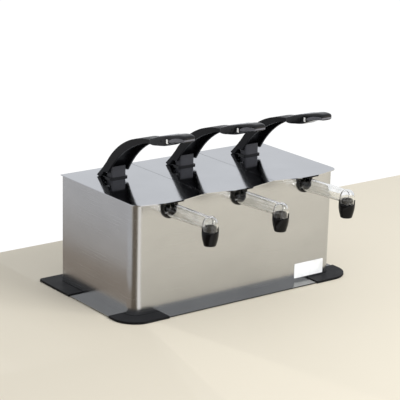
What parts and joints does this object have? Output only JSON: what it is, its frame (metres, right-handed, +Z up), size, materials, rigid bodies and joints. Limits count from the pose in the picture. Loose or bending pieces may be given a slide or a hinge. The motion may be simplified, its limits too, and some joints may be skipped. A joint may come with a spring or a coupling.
{
  "type": "condiment pump dispenser",
  "caption": "Stainless countertop condiment dispenser with lift-out lids, lever-driven pumps, clear spouts with black nozzles and a flanged base on corner feet.",
  "frame": {"origin": "bottom centre of the whole dispenser, on the surface it stands on", "axes": "+X to the right along the front, +Y to the back, +Z up; the spouts point to -Y"},
  "size_m": [0.568, 0.434, 0.3638],
  "materials": {
    "stainless_wall": "brushed",
    "stainless_lid": "satin",
    "stainless_base": "satin",
    "steel_bright": "polished",
    "rubber_black": "satin",
    "head_black": "satin",
    "pump_black": "satin",
    "lever_black": "satin",
    "grip_black": "glossy",
    "nozzle_black": "glossy",
    "clear_tube": "clear glossy",
    "acetal_white": "satin",
    "silicone_white": "matt",
    "seal_red": "satin",
    "label_white": "satin"
  },
  "bodies": {
    "box": {"front_panel": "stainless_wall", "body_shell": "stainless_wall", "base_plate": "stainless_base", "corner_feet": "rubber_black", "pouch_divider_left": "stainless_wall", "pouch_divider_right": "stainless_wall", "base_rivets": "steel_bright", "nameplate": "label_white"},
    "pump_left": {"lid_left": "stainless_lid", "pump_head_left": "pump_black", "pump_body_left": "pump_black", "head_screws_left": "steel_bright", "outlet_tube_left": "clear_tube", "nozzle_left": "nozzle_black", "nozzle_valve_left": "silicone_white", "pouch_connector_left": "acetal_white", "return_spring_left": "steel_bright"},
    "lever_left": {"lever_arm_left": "lever_black", "lever_grip_left": "grip_black", "grip_label_left": "label_white", "pivot_pin_left": "steel_bright", "link_pin_left": "steel_bright"},
    "plunger_left": {"piston_left": "head_black", "piston_seal_left": "seal_red"},
    "ball_left": {"inlet_ball_left": "steel_bright"},
    "pump_middle": {"lid_middle": "stainless_lid", "pump_head_middle": "pump_black", "pump_body_middle": "pump_black", "head_screws_middle": "steel_bright", "outlet_tube_middle": "clear_tube", "nozzle_middle": "nozzle_black", "nozzle_valve_middle": "silicone_white", "pouch_connector_middle": "acetal_white", "return_spring_middle": "steel_bright"},
    "lever_middle": {"lever_arm_middle": "lever_black", "lever_grip_middle": "grip_black", "grip_label_middle": "label_white", "pivot_pin_middle": "steel_bright", "link_pin_middle": "steel_bright"},
    "plunger_middle": {"piston_middle": "head_black", "piston_seal_middle": "seal_red"},
    "ball_middle": {"inlet_ball_middle": "steel_bright"},
    "pump_right": {"lid_right": "stainless_lid", "pump_head_right": "pump_black", "pump_body_right": "pump_black", "head_screws_right": "steel_bright", "outlet_tube_right": "clear_tube", "nozzle_right": "nozzle_black", "nozzle_valve_right": "silicone_white", "pouch_connector_right": "acetal_white", "return_spring_right": "steel_bright"},
    "lever_right": {"lever_arm_right": "lever_black", "lever_grip_right": "grip_black", "grip_label_right": "label_white", "pivot_pin_right": "steel_bright", "link_pin_right": "steel_bright"},
    "plunger_right": {"piston_right": "head_black", "piston_seal_right": "seal_red"},
    "ball_right": {"inlet_ball_right": "steel_bright"}
  },
  "joints": [
    {"name": "lid_lift_left", "type": "slide", "parent": "box", "child": "pump_left", "axis": [0, 0, 1], "range_m": [0, 0.16]},
    {"name": "lever_press_left", "type": "hinge", "parent": "pump_left", "child": "lever_left", "pos_m": [-0.168, 0.13, 0.235], "axis": [1, 0, 0], "range_deg": [0, 20], "stiffness_Nm_per_rad": 4, "springref_deg": -17.19},
    {"name": "plunger_stroke_left", "type": "slide", "parent": "pump_left", "child": "plunger_left", "axis": [0, 0, -1], "range_m": [0, 0.0081], "deforming": ["return_spring_left"]},
    {"name": "ball_lift_left", "type": "slide", "parent": "pump_left", "child": "ball_left", "axis": [0, 0, 1], "range_m": [0, 0.0035]},
    {"name": "lid_lift_middle", "type": "slide", "parent": "box", "child": "pump_middle", "axis": [0, 0, 1], "range_m": [0, 0.16]},
    {"name": "lever_press_middle", "type": "hinge", "parent": "pump_middle", "child": "lever_middle", "pos_m": [0, 0.13, 0.235], "axis": [1, 0, 0], "range_deg": [0, 20], "stiffness_Nm_per_rad": 4, "springref_deg": -17.19},
    {"name": "plunger_stroke_middle", "type": "slide", "parent": "pump_middle", "child": "plunger_middle", "axis": [0, 0, -1], "range_m": [0, 0.0081], "deforming": ["return_spring_middle"]},
    {"name": "ball_lift_middle", "type": "slide", "parent": "pump_middle", "child": "ball_middle", "axis": [0, 0, 1], "range_m": [0, 0.0035]},
    {"name": "lid_lift_right", "type": "slide", "parent": "box", "child": "pump_right", "axis": [0, 0, 1], "range_m": [0, 0.16]},
    {"name": "lever_press_right", "type": "hinge", "parent": "pump_right", "child": "lever_right", "pos_m": [0.168, 0.13, 0.235], "axis": [1, 0, 0], "range_deg": [0, 20], "stiffness_Nm_per_rad": 4, "springref_deg": -17.19},
    {"name": "plunger_stroke_right", "type": "slide", "parent": "pump_right", "child": "plunger_right", "axis": [0, 0, -1], "range_m": [0, 0.0081], "deforming": ["return_spring_right"]},
    {"name": "ball_lift_right", "type": "slide", "parent": "pump_right", "child": "ball_right", "axis": [0, 0, 1], "range_m": [0, 0.0035]}
  ],
  "couplings": [
    {"joint": "plunger_stroke_left", "follows": "lever_press_left", "m_per_rad": 0.022938},
    {"joint": "plunger_stroke_middle", "follows": "lever_press_middle", "m_per_rad": 0.022938},
    {"joint": "plunger_stroke_right", "follows": "lever_press_right", "m_per_rad": 0.022938}
  ]
}
